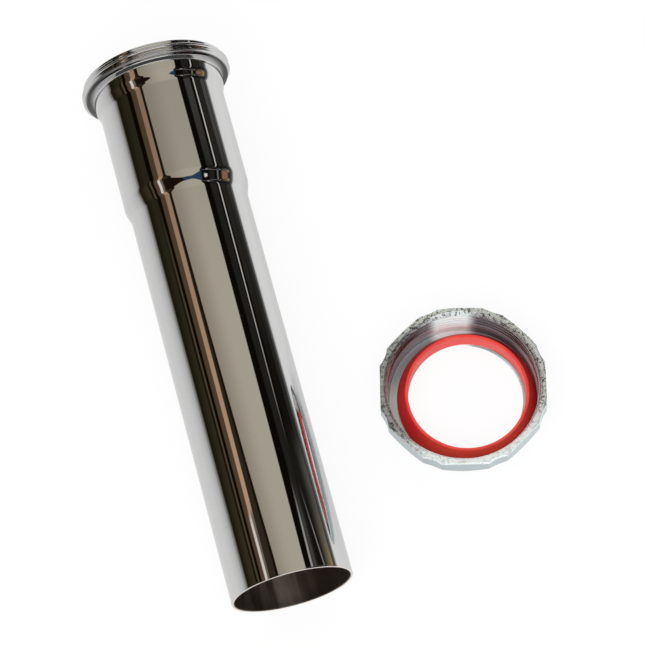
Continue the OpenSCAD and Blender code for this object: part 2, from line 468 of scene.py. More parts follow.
def roughen(points, heights, centre):
    """Cast unevenness: a slight waviness all over, and a chewed rim. Points only move inward or down."""
    wave = ripple(points, WAVE_SCALE, 1)
    chew = ripple(points, CHEW_SCALE, 2) + FINE_CHEW_SHARE * ripple(points, FINE_CHEW_SCALE, 3)
    rim = smooth(heights, NUT_HEIGHT - RIM_BEVEL - CHEW_ZONE[0], NUT_HEIGHT - CHEW_ZONE[1])[:, None]
    spoke = points - np.array(centre) / MM
    spoke[:, :, 2] = 0.0
    spoke = spoke / np.linalg.norm(spoke, axis=2, keepdims=True)
    inward = WAVE_DEPTH * (wave + 1.0) + CHEW_INWARD * rim * np.clip(chew + 0.4, 0.0, None)
    moved = points - spoke * inward[:, :, None]
    moved[:, :, 2] -= CHEW_SUNK * rim * np.clip(chew + 0.3, 0.0, None)
    return moved


def make_slip_nut():
    angles = ring_angles(NUT_SIDES)
    out_heights, outer = nut_outside(angles)
    rim_heights, rim = nut_rim_rows(outer[-1])
    thread_heights, thread = nut_thread_rows(angles)
    floor_heights, floor = plain_rows(nut_floor_profile(), NUT_SIDES)
    heights = np.concatenate([out_heights, rim_heights, thread_heights, floor_heights])
    radii = np.concatenate([outer, rim, thread, floor])
    turn = math.radians(NUT_TURN)
    first = (math.cos(turn), math.sin(turn), 0.0)
    second = (-math.sin(turn), math.cos(turn), 0.0)
    points = turned(radii, heights, angles, nut_centre(), first, second, (0.0, 0.0, 1.0))
    points = roughen(points, heights, nut_centre())
    nut = ring_mesh("octagonal_slip_nut", points)
    nut.data.materials.append(zinc_material())
    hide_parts("slip_nut")
    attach(nut, "root")


# Washer

def washer_profile():
    """The washer's section as (radius, height): base, upright edge, bevel, land and inner wall."""
    top_r = WASHER_IN_R + WASHER_LAND
    edge_r = WASHER_OUT_R - WASHER_ROUND
    steep = 90 - math.degrees(math.atan2(WASHER_HEIGHT - WASHER_EDGE, WASHER_OUT_R - top_r))
    base = [[r, 0.0] for r in np.linspace(WASHER_IN_R + 0.5, WASHER_OUT_R - 0.5, 5)]
    foot = arc(edge_r, WASHER_ROUND, WASHER_ROUND, -90, 0, 5)
    shoulder = arc(edge_r, WASHER_EDGE - WASHER_ROUND / 2, WASHER_ROUND, 0, steep, 5)
    low = shoulder[-1]
    high = np.array([top_r - 0.1, WASHER_HEIGHT - 0.08])
    bevel = [low + (high - low) * share for share in np.linspace(0.12, 0.9, 6)]
    crown = arc(top_r - 0.25, WASHER_HEIGHT - WASHER_CROWN, WASHER_CROWN, steep, 90, 4)
    land = [[r, WASHER_HEIGHT] for r in (top_r - 0.35, WASHER_IN_R + 0.3)]
    brim = arc(WASHER_IN_R + WASHER_BRIM, WASHER_HEIGHT - WASHER_BRIM, WASHER_BRIM, 90, 180, 4)
    wall = [[WASHER_IN_R, h] for h in np.linspace(WASHER_HEIGHT - 0.6, 0.5, 5)]
    heel = arc(WASHER_IN_R + WASHER_BRIM, WASHER_BRIM, WASHER_BRIM, 180, 270, 4)
    return np.concatenate([base, foot, shoulder, bevel, crown, land, brim, wall, heel])


def make_washer():
    angles = ring_angles(WASHER_SIDES)
    heights, radii = plain_rows(washer_profile(), WASHER_SIDES)
    hole = mount_place("washer_hole")
    seat = mount_place("flange_hole").z + FLANGE_THICKNESS / 2 * MM
    centre = Vector((hole.x, hole.y, seat))
    points = turned(radii, heights, angles, centre, (1.0, 0.0, 0.0), (0.0, 1.0, 0.0), (0.0, 0.0, 1.0))
    washer = ring_mesh("rubber_washer", points)
    washer.data.materials.append(rubber_material())
    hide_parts("washer")
    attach(washer, "root")


# Shader building

def new_surface(name):
    """A new material, with its node tree, its shader and the place on the part that is shaded."""
    material = bpy.data.materials.new(name)
    material.use_nodes = True
    tree = material.node_tree
    place = tree.nodes.new("ShaderNodeTexCoord").outputs["Object"]
    return material, tree, tree.nodes["Principled BSDF"], place


def new_stage_material(name):
    """A new material whose surface is still to be made. It lights nothing by itself."""
    material = bpy.data.materials.new(name)
    material.use_nodes = True
    material.cycles.emission_sampling = "NONE"
    tree = material.node_tree
    tree.nodes.remove(tree.nodes["Principled BSDF"])
    return material, tree, tree.nodes["Material Output"].inputs["Surface"]


def put(tree, socket, value):
    """Sets a socket to a number or colour, or links it to another socket."""
    if isinstance(value, bpy.types.NodeSocket):
        tree.links.new(value, socket)
    else:
        socket.default_value = value


def set_inputs(tree, node, values):
    for name, value in values.items():
        put(tree, node.inputs[name], value)


def add_node(tree, kind, values):
    """A new shader node, with its inputs set or linked."""
    node = tree.nodes.new("ShaderNode" + kind)
    set_inputs(tree, node, values)
    return node


def maths(tree, operation, first, second=None, clamp=False):
    node = tree.nodes.new("ShaderNodeMath")
    node.operation = operation
    node.use_clamp = clamp
    put(tree, node.inputs[0], first)
    if second is not None:
        put(tree, node.inputs[1], second)
    return node.outputs[0]


def plus(tree, first, second, clamp=False):
    return maths(tree, "ADD", first, second, clamp)


def minus(tree, first, second):
    return maths(tree, "SUBTRACT", first, second)


def times(tree, first, *others):
    for other in others:
        first = maths(tree, "MULTIPLY", first, other)
    return first


def greater(tree, first, second):
    return maths(tree, "MAXIMUM", first, second)


def step_up(tree, value, low, high):
    """0 below low and 1 above high, with a smooth rise between them."""
    node = add_node(tree, "MapRange", {"Value": value, "From Min": low, "From Max": high})
    node.interpolation_type = "SMOOTHSTEP"
    return node.outputs[0]


def step_down(tree, value, low, high):
    return minus(tree, 1.0, step_up(tree, value, low, high))


def beyond(tree, value, place, soft):
    """1 past a place and 0 before it, with a soft change."""
    return step_up(tree, value, place - soft / 2, place + soft / 2)


def before(tree, value, place, soft):
    return minus(tree, 1.0, beyond(tree, value, place, soft))


def between(tree, value, span):
    """1 inside a span, whose two ends are each given as (place, softness)."""
    start, end = span
    return times(tree, beyond(tree, value, *start), before(tree, value, *end))


def spread(tree, value, low, high, to_low=0.0, to_high=1.0):
    """A straight change of range."""
    values = {"Value": value, "From Min": low, "From Max": high, "To Min": to_low, "To Max": to_high}
    return add_node(tree, "MapRange", values).outputs[0]


def spread_noise(tree, value, to_low, to_high):
    """Changes the range in which noise mostly lies."""
    return spread(tree, value, 0.3, 0.7, to_low, to_high)


def colour_input(value):
    return value if isinstance(value, bpy.types.NodeSocket) else (*value, 1.0)


def blend(tree, share, first, second):
    node = tree.nodes.new("ShaderNodeMix")
    node.data_type = "RGBA"
    put(tree, node.inputs[0], share)
    put(tree, node.inputs[6], colour_input(first))
    put(tree, node.inputs[7], colour_input(second))
    return node.outputs[2]


def noise_at(tree, place, scale, detail=2.0, rough=0.5, stretch=(1.0, 1.0, 1.0)):
    spot = add_node(tree, "Mapping", {"Vector": place, "Scale": stretch}).outputs[0]
    values = {"Vector": spot, "Scale": scale, "Detail": detail, "Roughness": rough}
    return add_node(tree, "TexNoise", values).outputs["Fac"]


def split(tree, vector):
    return add_node(tree, "SeparateXYZ", {0: vector}).outputs


def world_place(tree):
    return split(tree, tree.nodes.new("ShaderNodeNewGeometry").outputs["Position"])


def from_centre(tree, spot, centre):
    """Distances from an upright axis: to the right, to the back, and straight out."""
    sideways = minus(tree, spot[0], centre.x)
    forward = minus(tree, spot[1], centre.y)
    square = plus(tree, times(tree, sideways, sideways), times(tree, forward, forward))
    return sideways, forward, maths(tree, "SQRT", square)


def bump(tree, height, strength, distance):
    values = {"Height": height, "Strength": strength, "Distance": distance}
    return add_node(tree, "Bump", values).outputs[0]


def dress(tree, shader, colour, metal, rough, normal):
    set_inputs(tree, shader, {"Base Color": colour, "Metallic": metal, "Roughness": rough, "Normal": normal})


def emit(tree, surface, colour, strength=1.0):
    glow = add_node(tree, "Emission", {"Color": colour, "Strength": strength})
    tree.links.new(glow.outputs[0], surface)


# Materials. Places in them are in metres in the part's own frame. Some tones are fixed to places on the
# part: the corner under the collar, the bore's shading, the nut's lining and rim, and the washer's bevel.
# They stand in for shadows and reflections that this studio doesn't give.

CHROME = (0.60, 0.60, 0.595)
CHROME_SPECK = (0.47, 0.46, 0.45)
# Painted shade for the corner under the collar
CHROME_PAINTED_SHADE = (0.02, 0.02, 0.018)
COLLAR_RISE = (0.0690, 0.0700)
COLLAR_PAINTED_SHADE_SPAN = ((0.0694, 0.0005), (0.0702, 0.0004))

# Painted shade and painted light in the bore, and a painted sheen on its streaks
BORE_PAINTED_SHADE = (0.10, 0.078, 0.062)
BORE_PAINTED_LIGHT = (0.42, 0.33, 0.28)
BORE_CLOUD = (0.30, 0.25, 0.21)
BORE_STREAK_PAINTED_SHEEN = (0.86, 0.80, 0.75)
CUT_END_COLOURS = ((0.80, 0.68, 0.60), (0.92, 0.84, 0.78))

ZINC_COLOURS = ((0.40, 0.48, 0.50), (0.50, 0.55, 0.56))
ZINC_PIT = (0.10, 0.10, 0.09)
# Painted light inside the nut: lighter at the front, painted shade at the sides, a painted highlight at the
# back
LINING_FRONT_PAINTED_LIGHT = (0.66, 0.77, 0.78)
LINING_LEFT_PAINTED_SHADE = (0.46, 0.51, 0.54)
LINING_RIGHT_PAINTED_SHADE = (0.34, 0.33, 0.36)
LINING_PAINTED_HIGHLIGHT = (0.92, 1.0, 1.0)
# Painted light on the rim: painted shade at the left, lighter at the right, a painted highlight at the front
RIM_LEFT_PAINTED_SHADE = (0.46, 0.50, 0.51)
RIM_RIGHT_PAINTED_LIGHT = (0.80, 0.87, 0.88)
RIM_FRONT_PAINTED_HIGHLIGHT = (0.94, 1.0, 1.0)
RIM_RISE = (0.0112, 0.0120)
LINING_FALL = (0.0207, 0.0210)
# Bearings in degrees of the painted highlight at the back of the nut's inside
HIGHLIGHT_BEARING_RISE = (-14.0, -4.0)
HIGHLIGHT_BEARING_FALL = (17.0, 28.0)
SIDE_RISE = (-0.018, -0.006)

RUBBER_COLOURS = ((0.83, 0.045, 0.035), (0.88, 0.075, 0.05))
# Painted shade on the washer's bevel, and painted light at its front
RUBBER_BEVEL_PAINTED_SHADE = (0.80, 0.015, 0.02)
RUBBER_BEVEL_PAINTED_LIGHT = (1.0, 0.085, 0.05)
BEVEL_RISE = (0.0162, 0.0166)


def collar_painted_shade(tree, spot):
    """Painted shade in the corner under the collar, darkest at its sides."""
    side = maths(tree, "ABSOLUTE", minus(tree, spot[0], pipe_end().x))
    return times(tree, between(tree, spot[1], COLLAR_PAINTED_SHADE_SPAN), spread(tree, side, 0.005, 0.014, 0.55, 0.93))


def chrome_roughness(tree, place, collar, specks):
    """Nearly a mirror, duller on the collar and on specks."""
    rough = spread_noise(tree, noise_at(tree, place, 90.0, 3.0), 0.020, 0.045)
    rough = plus(tree, rough, times(tree, specks, 0.12))
    return plus(tree, rough, times(tree, collar, 0.035), clamp=True)


def chrome_relief(tree, place, collar):
    """Faint drawing marks along the pipe, and a little grain on the rolled collar."""
    drawn = noise_at(tree, place, 60.0, 2.0, stretch=(1.0, 0.12, 1.0))
    rolled = times(tree, collar, noise_at(tree, place, 1400.0, 2.0))
    return plus(tree, drawn, times(tree, rolled, 0.2))


def chrome_material():
    """Bright chrome plate: nearly a mirror, with faint drawing marks, specks, a duller collar, and painted
    shade under it.
    """
    material, tree, shader, place = new_surface("bright_chrome")
    spot = split(tree, place)
    collar = step_up(tree, spot[1], *COLLAR_RISE)
    specks = step_up(tree, noise_at(tree, place, 1500.0, 1.0), 0.755, 0.80)
    colour = blend(tree, specks, CHROME, CHROME_SPECK)
    # Painted shade in the corner under the collar
    colour = blend(tree, collar_painted_shade(tree, spot), colour, CHROME_PAINTED_SHADE)
    rough = chrome_roughness(tree, place, collar, specks)
    normal = bump(tree, chrome_relief(tree, place, collar), 0.25, 0.00006)
    dress(tree, shader, colour, 1.0, rough, normal)
    return material


def bore_colour(tree, place, streaks):
    """Brown-grey with painted shade, darkest at the mouth and at the left. The streaks' painted sheen fades
    out to the right.
    """
    spot = split(tree, place)
    depth = minus(tree, spot[1], pipe_end().y)
    sideways = minus(tree, spot[0], pipe_end().x)
    # Painted shade towards the mouth and the left, and a painted sheen on the streaks that fades to the
    # right
    deep = spread(tree, depth, 0.0, 0.009, 0.10, 1.0)
    lit = times(tree, deep, spread(tree, sideways, -0.0155, -0.006, 0.12, 1.0))
    middle = step_down(tree, sideways, -0.003, 0.010)
    share = times(tree, step_up(tree, streaks, 0.38, 0.62), times(tree, lit, middle))
    body = blend(tree, lit, BORE_PAINTED_SHADE, BORE_PAINTED_LIGHT)
    clouds = times(tree, noise_at(tree, place, 70.0, 3.0), 0.35)
    body = blend(tree, clouds, body, BORE_CLOUD)
    return blend(tree, share, body, BORE_STREAK_PAINTED_SHEEN)


def bore_material():
    """The unpolished inside: dull brown-grey plate with fine lengthwise streaks, painted shade and a painted
    sheen.
    """
    material, tree, shader, place = new_surface("dull_bore")
    streaks = noise_at(tree, place, 420.0, 4.0, 0.6, stretch=(1.0, 0.07, 1.0))
    rough = spread_noise(tree, streaks, 0.38, 0.52)
    normal = bump(tree, streaks, 0.5, 0.00008)
    dress(tree, shader, bore_colour(tree, place, streaks), 1.0, rough, normal)
    return material


def cut_end_material():
    """The cut end of the tube, faintly coppery, with fine marks."""
    material, tree, shader, place = new_surface("cut_end")
    marks = noise_at(tree, place, 900.0, 2.0)
    colour = blend(tree, marks, *CUT_END_COLOURS)
    rough = spread_noise(tree, marks, 0.3, 0.4)
    dress(tree, shader, colour, 1.0, rough, bump(tree, marks, 0.3, 0.00005))
    return material


NutZones = namedtuple("NutZones", "sideways forward inside rim near_rim pale low_wall")


def nut_zones(tree, spot):
    """Where a place lies on the nut, and shares from 0 to 1 of the zones that differ in tone, some by
    painted light.
    """
    sideways, forward, reach = from_centre(tree, spot, nut_centre())
    inside = step_down(tree, reach, *LINING_FALL)
    rim = step_up(tree, spot[2], *RIM_RISE)
    # The front of the rim, which gets a painted highlight
    near_rim = times(tree, rim, step_down(tree, forward, *SIDE_RISE))
    bearing = times(tree, maths(tree, "ARCTAN2", sideways, forward), 180.0 / math.pi)
    # Where the painted highlight lies, at the back of the nut's inside
    sector = times(tree, step_up(tree, bearing, *HIGHLIGHT_BEARING_RISE), step_down(tree, bearing, *HIGHLIGHT_BEARING_FALL))
    low_wall = times(tree, inside, before(tree, spot[2], 0.0062, 0.002))
    return NutZones(sideways, forward, inside, rim, near_rim, times(tree, sector, inside), low_wall)


def lining_colour(tree, zones):
    """Inside the nut, painted light: a painted highlight at the back, painted shade to both sides of it,
    lighter at the front.
    """
    dark = blend(tree, step_up(tree, zones.sideways, -0.004, 0.006), LINING_LEFT_PAINTED_SHADE, LINING_RIGHT_PAINTED_SHADE)
    lining = blend(tree, step_up(tree, zones.forward, 0.004, 0.012), LINING_FRONT_PAINTED_LIGHT, dark)
    return blend(tree, zones.pale, lining, LINING_PAINTED_HIGHLIGHT)


def zinc_colour(tree, zones, clouds, grains):
    """Cool grey outside, the lining, and a rim with dark pits and painted light, brightest and least pitted
    at the front.
    """
    body = blend(tree, clouds, *ZINC_COLOURS)
    body = blend(tree, zones.inside, body, lining_colour(tree, zones))
    # Painted shade at the rim's left, painted light at its right, and a painted highlight at its front
    rim = blend(tree, step_up(tree, zones.sideways, *SIDE_RISE), RIM_LEFT_PAINTED_SHADE, RIM_RIGHT_PAINTED_LIGHT)
    body = blend(tree, zones.rim, body, rim)
    body = blend(tree, zones.near_rim, body, RIM_FRONT_PAINTED_HIGHLIGHT)
    pitted = minus(tree, zones.rim, times(tree, zones.near_rim, 0.65))
    return blend(tree, times(tree, pitted, step_up(tree, grains, 1.01, 1.14)), body, ZINC_PIT)


def zinc_matt(tree, zones):
    """How much of the plate scatters light as a matt surface does, most where light is painted on."""
    matt = plus(tree, times(tree, zones.low_wall, 0.35), times(tree, zones.rim, 0.15))
    matt = greater(tree, matt, times(tree, zones.pale, 0.80))
    return greater(tree, matt, times(tree, zones.near_rim, 0.55))


def zinc_material():
    """Bright plated zinc casting: cool grey, softly mottled, with a rough speckled rim, and painted light
    inside and on the rim.
    """
    material, tree, shader, place = new_surface("plated_zinc_casting")
    zones = nut_zones(tree, split(tree, place))
    clouds = noise_at(tree, place, 160.0, 3.0)
    grains = plus(tree, noise_at(tree, place, 3400.0, 3.0, 0.7), noise_at(tree, place, 1300.0, 2.0))
    rough = plus(tree, spread_noise(tree, clouds, 0.14, 0.24), times(tree, zones.low_wall, 0.12))
    relief = plus(tree, times(tree, clouds, 0.5), times(tree, zones.rim, 0.6, grains))
    colour = zinc_colour(tree, zones, clouds, grains)
    metal = minus(tree, 1.0, zinc_matt(tree, zones))
    dress(tree, shader, colour, metal, rough, bump(tree, relief, 0.6, 0.00022))
    return material


def rubber_colour(tree, place):
    """Red with a slight bloom. The bevel has painted shade, a deeper red, and painted light at the front."""
    bloom = step_up(tree, noise_at(tree, place, 140.0, 3.0), 0.35, 0.7)
    sideways, forward, reach = from_centre(tree, split(tree, place), mount_place("washer_hole"))
    near = step_down(tree, forward, -0.016, -0.004)
    colour = blend(tree, bloom, *RUBBER_COLOURS)
    # Painted shade on the bevel, with painted light at its front
    painted_bevel = blend(tree, near, RUBBER_BEVEL_PAINTED_SHADE, RUBBER_BEVEL_PAINTED_LIGHT)
    return blend(tree, step_up(tree, reach, *BEVEL_RISE), colour, painted_bevel)


def rubber_material():
    """Satin red rubber with a slight bloom and moulding grain, and painted shade and light on the bevel."""
    material, tree, shader, place = new_surface("red_rubber")
    grain = noise_at(tree, place, 1800.0, 2.0)
    shader.inputs["Specular IOR Level"].default_value = 0.45
    rough = spread_noise(tree, grain, 0.38, 0.5)
    dress(tree, shader, rubber_colour(tree, place), 0.0, rough, bump(tree, grain, 0.25, 0.00004))
    return material


# The studio that the chrome mirrors: half a cylinder over the pipe, painted with bands that run along it.
# Places along it are in metres on the world's y axis. Angles are in degrees round the pipe's axis, from the
# camera's side of it and positive to the right. The camera stands VIEW_SIDE degrees to the left of straight
# above the pipe, and RAY_SPREAD allows for the mirrored rays starting on the pipe's skin.

SHELL_R = 0.6
SHELL_FRONT = -0.6
SHELL_BACK = 1.3
SHELL_SIDES = 72
NEAR_PLACE = 0.08
FAR_PLACE = 0.316
LINE_PLACE = 0.12
VIEW_SIDE = 1.7
RAY_SPREAD = 1.013
SKY_LEVEL = 0.72

# Bands: two edges where the plain end mirrors them, two where the bell does if they differ, and softness
OLIVE_WALL = ((-84, -50.8), None, 2.0)
OLIVE_LINE = ((-58.9, -54.5), None, 1.5)
DARK_LINE = ((-63, -58.9), None, 1.4)
FAR_LINE = ((-58, -54), None, 1.4)
BLACK_LINE = ((-55.3, -50.4), (-55.3, -49.4), 1.2)
TAN_STRIP = ((-50.4, -42.2), (-49.4, -39.6), 1.5)
COPPER_STRIP = ((-42.2, -34.6), (-39.6, -30.4), 1.8)
WHITE_STRIP = ((-43, -38), None, 1.6)
BROWN_STRIP = ((-38, -33.5), None, 2.0)
CEILING_GAP = ((-34.3, -17), (-30.2, -25), 1.6)
CEILING_LINE = ((-22, -16), (-29.6, -25), 1.6)
CEILING = ((-17.2, 33.8), (-25.9, 39.5), 1.4)
UPPER_GREY = ((50.5, 60.5), (50.5, 63), 2.5)
LOWER_GREY = ((68, 83), (73, 84), 3.0)
LEVEL_GREY = ((85, 96), None, 2.5)
LIGHT_SLIT = ((60.2, 61.9), (68.8, 71.3), 1.0)
LOW_ROOM = ((62, 96), None, 3.0)
GREY_LINE = ((49, 56), (52, 57), 2.4)
PALE_LINE = ((44.6, 48.4), (49.4, 51.4), 1.2)
LOWER_LINE = ((71, 73.4), (63.2, 65.4), 1.2)
GOLD_LINE = ((87.8, 97), None, 1.4)
DARK_FRONT = ((-33, 3), None, 4.0)
BLUE_FRONT = ((3, 36), None, 4.0)
WHITE_FRONT = ((-14, 36), None, 5.0)
DEEPEST_FRONT = ((-50, 45), None, 8.0)
OUTLINE = ((37, 68), None, 3.0)
INNER_BAR = ((66, 69), None, 1.6)
WARM_PATCH = ((76, 89), None, 5.0)
FRONT_LAMP = ((41.5, 47), None, 3.0)

# Spans along the pipe, with each end as (place, softness)
COPPER_SPAN = ((0.105, 0.006), (0.46, 0.10))
NEAR_LINE_SPAN = ((0.055, 0.01), (0.108, 0.03))
LOW_ROOM_SPAN = ((0.055, 0.01), (0.145, 0.03))
GOLD_SPAN = ((0.055, 0.01), (0.092, 0.02))
WHITE_FRONT_SPAN = ((-0.34, 0.06), (-0.135, 0.02))
OUTLINE_SPAN = ((0.040, 0.006), (0.056, 0.006))
INNER_SPAN = ((-0.13, 0.010), (0.050, 0.010))
LAMP_SPAN = ((-0.13, 0.010), (-0.062, 0.012))
ROOM_END = (0.46, 0.10)
CEILING_FRONT = -0.09
CEILING_CORNER = 0.15

Room = namedtuple("Room", "tree angle along drift")


def band_drift(tree, along):
    """0 near the plain end and 1 near the bell, easing off towards the bell."""
    share = spread(tree, along, NEAR_PLACE, FAR_PLACE, 1.0, 0.0)
    return minus(tree, 1.0, times(tree, share, share))


def band(room, below, edges, colour, *gates):
    """Lays a band of colour over what is below it. A gate limits it along the pipe."""
    tree = room.tree
    near, far, soft = edges
    low, high = [plus(tree, times(tree, room.drift, b - a), a) for a, b in zip(near, far or near)]
    rise = step_up(tree, minus(tree, room.angle, low), -soft / 2, soft / 2)
    fall = step_up(tree, minus(tree, high, room.angle), -soft / 2, soft / 2)
    return blend(tree, times(tree, rise, fall, *gates), below, colour)


def lay(room, below, *bands):
    """Lays bands one over another, each given as its edges, its colour and perhaps a gate."""
    for rest in bands:
        below = band(room, below, *rest)
    return below


def along_blend(room, start, end, first, second):
    """A colour that changes between two places along the pipe."""
    return blend(room.tree, step_up(room.tree, room.along, start, end), first, second)


def round_off(tree, angle, start, end):
    """How far the ceiling's front end draws back between two angles."""
    share = greater(tree, spread(tree, angle, start, end), 0.0)
    return times(tree, share, share, CEILING_CORNER)


def ceiling_gate(room):
    """The ceiling's rounded end: it reaches furthest forward at the middle of its width."""
    tree, angle = room.tree, room.angle
    drawn_back = plus(tree, round_off(tree, angle, 4.0, -24.0), round_off(tree, angle, 16.0, 38.0))
    end = plus(tree, drawn_back, CEILING_FRONT)
    return step_up(tree, minus(tree, room.along, end), -0.004, 0.004)


def ceiling_colour(room):
    """Warm grey, lighter to the right and duller at the far end."""
    left = along_blend(room, 0.20, 0.33, (0.400, 0.345, 0.275), (0.36, 0.33, 0.265))
    right = along_blend(room, 0.20, 0.33, (0.600, 0.548, 0.448), (0.475, 0.440, 0.360))
    colour = blend(room.tree, step_up(room.tree, room.angle, -28.0, 16.0), left, right)
    # Only the collar's crests mirror what lies further back, which is nearly white
    further = beyond(room.tree, room.along, *ROOM_END)
    return blend(room.tree, further, colour, (1.1, 1.1, 1.08))


def olive_wall(room, colour):
    """The wall at the left and the thin lines on it."""
    tree = room.tree
    tone = blend(tree, room.drift, (0.056, 0.042, 0.022), (0.031, 0.027, 0.014))
    wall = blend(tree, step_up(tree, room.angle, -85.0, -65.0), (0.015, 0.011, 0.004), tone)
    near_part = before(tree, room.along, 0.25, 0.10)
    far_part = beyond(tree, room.along, 0.265, 0.04)
    black = (0.005, 0.003, 0.001)
    return lay(
        room, colour, (OLIVE_WALL, wall), (OLIVE_LINE, (0.110, 0.085, 0.050), near_part),
        (DARK_LINE, (0.014, 0.009, 0.004), near_part), (FAR_LINE, black, far_part), (BLACK_LINE, black))


def tan_and_copper(room, colour):
    """The tan strip, and beside it the copper strip, which is white and brown near the camera."""
    tree = room.tree
    tan = blend(tree, room.drift, (0.125, 0.080, 0.050), (0.108, 0.068, 0.037))
    fade = spread(tree, room.along, 0.11, FAR_PLACE)
    copper = blend(tree, fade, (0.70, 0.44, 0.28), (0.37, 0.235, 0.155))
    near_end = before(tree, room.along, *COPPER_SPAN[0])
    return lay(
        room, colour, (TAN_STRIP, tan, before(tree, room.along, *ROOM_END)),
        (COPPER_STRIP, copper, between(tree, room.along, COPPER_SPAN)),
        (WHITE_STRIP, (0.98, 0.90, 0.83), near_end), (BROWN_STRIP, (0.21, 0.18, 0.14), near_end))


def ceiling_edge(room, colour):
    """The dark gap at the left of the ceiling."""
    gap = blend(room.tree, room.drift, (0.044, 0.033, 0.020), (0.030, 0.024, 0.013))
    return lay(room, colour, (CEILING_GAP, gap), (CEILING_LINE, (0.012, 0.008, 0.004)))


def right_side(room, colour):
    """Black beside the ceiling, then greys with a thin light slit between them."""
    grey = along_blend(room, 0.26, 0.33, (0.022, 0.020, 0.016), (0.064, 0.062, 0.054))
    lower = along_blend(room, 0.18, 0.24, (0.010, 0.009, 0.007), (0.027, 0.025, 0.021))
    level = along_blend(room, 0.26, 0.33, (0.030, 0.028, 0.023), (0.095, 0.090, 0.085))
    bright = along_blend(room, 0.14, 0.24, (0.18, 0.175, 0.165), (0.72, 0.70, 0.67))
    straight = room._replace(drift=spread(room.tree, room.along, NEAR_PLACE, FAR_PLACE))
    colour = lay(room, colour, (UPPER_GREY, grey), (LOWER_GREY, lower), (LEVEL_GREY, level))
    return band(straight, colour, LIGHT_SLIT, bright, beyond(room.tree, room.along, 0.15, 0.05))


def low_room_colour(room):
    """The low right of the room is paler towards the camera and towards the floor."""
    tree, angle = room.tree, room.angle
    near = blend(tree, step_up(tree, angle, 71.0, 92.0), (0.010, 0.009, 0.007), (0.29, 0.25, 0.165))
    dim = blend(tree, step_up(tree, angle, 72.0, 92.0), (0.016, 0.015, 0.012), (0.125, 0.12, 0.10))
    return blend(tree, beyond(tree, room.along, 0.102, 0.04), near, dim)


def near_lines(room, colour):
    """Lines that only the plain end mirrors, at the right."""
    tree = room.tree
    short = room._replace(drift=spread(tree, room.along, NEAR_PLACE, LINE_PLACE))
    line = between(tree, room.along, NEAR_LINE_SPAN)
    low_room = low_room_colour(room)
    return lay(
        short, colour, (LOW_ROOM, low_room, between(tree, room.along, LOW_ROOM_SPAN)),
        (GREY_LINE, (0.075, 0.072, 0.064), line), (PALE_LINE, (0.44, 0.43, 0.41), line),
        (LOWER_LINE, (0.32, 0.31, 0.28), line),
        (GOLD_LINE, (0.52, 0.30, 0.06), between(tree, room.along, GOLD_SPAN)))


def dark_front(room, colour):
    """The dark front of the room with a blue patch at its right."""
    front = before(room.tree, room.along, 0.03, 0.02)
    return lay(
        room, colour, (DARK_FRONT, (0.014, 0.008, 0.005), front), (BLUE_FRONT, (0.035, 0.070, 0.135), front))


def front_marks(room, colour):
    """What only the shoulder and the collar mirror: white front, thin outline, lamp and warm patch."""
    tree, along = room.tree, room.along
    inner = between(tree, along, INNER_SPAN)
    return lay(
        room, colour, (WHITE_FRONT, (1.15, 1.13, 1.10), between(tree, along, WHITE_FRONT_SPAN)),
        (DEEPEST_FRONT, (0.42, 0.40, 0.43), before(tree, along, -0.36, 0.06)),
        (OUTLINE, (0.22, 0.22, 0.21), between(tree, along, OUTLINE_SPAN)),
        (INNER_BAR, (0.20, 0.20, 0.19), inner), (WARM_PATCH, (0.34, 0.19, 0.13), inner),
        (FRONT_LAMP, (0.95, 0.92, 0.85), between(tree, along, LAMP_SPAN)))


def look_round(tree):
    """Where a place on the shell lies: its angle round the pipe's axis, and its place along the pipe."""
    place = world_place(tree)
    sideways = minus(tree, place[0], pipe_end().x)
    upward = minus(tree, place[2], pipe_end().z)
    turn = times(tree, maths(tree, "ARCTAN2", sideways, upward), RAY_SPREAD * 180.0 / math.pi)
    return Room(tree, plus(tree, turn, VIEW_SIDE), place[1], band_drift(tree, place[1]))


def shell_colour(tree):
    """The room, laid band over band on black."""
    room = look_round(tree)
    colour = olive_wall(room, (0.006, 0.004, 0.003))
    colour = tan_and_copper(room, colour)
    colour = ceiling_edge(room, colour)
    colour = dark_front(room, colour)
    colour = band(room, colour, CEILING, ceiling_colour(room), ceiling_gate(room))
    colour = right_side(room, colour)
    colour = near_lines(room, colour)
    colour = front_marks(room, colour)
    # Horizon at the left, where the pale floor fades out
    glow = step_down(tree, room.angle, -88.0, -82.0)
    return blend(tree, glow, colour, (0.38, 0.365, 0.33))


def shell_material():
    """The room's colours in a mirror. Light that a matt surface gets by way of metal is the even sky's."""
    material, tree, surface = new_stage_material("studio_shell")
    matt_first = tree.nodes.new("ShaderNodeLightPath").outputs["Diffuse Depth"]
    lit = maths(tree, "MINIMUM", matt_first, 1.0)
    emit(tree, surface, blend(tree, lit, shell_colour(tree), (SKY_LEVEL,) * 3))
    return material


def only_mirrored(thing):
    """The shell and the card show only in glossy surfaces, and cast no shadow."""
    thing.visible_camera = False
    thing.visible_diffuse = False
    thing.visible_transmission = False
    thing.visible_volume_scatter = False
    thing.visible_shadow = False


def simple_mesh(name, corners, faces):
    mesh = bpy.data.meshes.new(name)
    mesh.from_pydata([tuple(c) for c in corners], [], faces)
    mesh.update()
    thing = bpy.data.objects.new(name, mesh)
    bpy.context.scene.collection.objects.link(thing)
    return thing


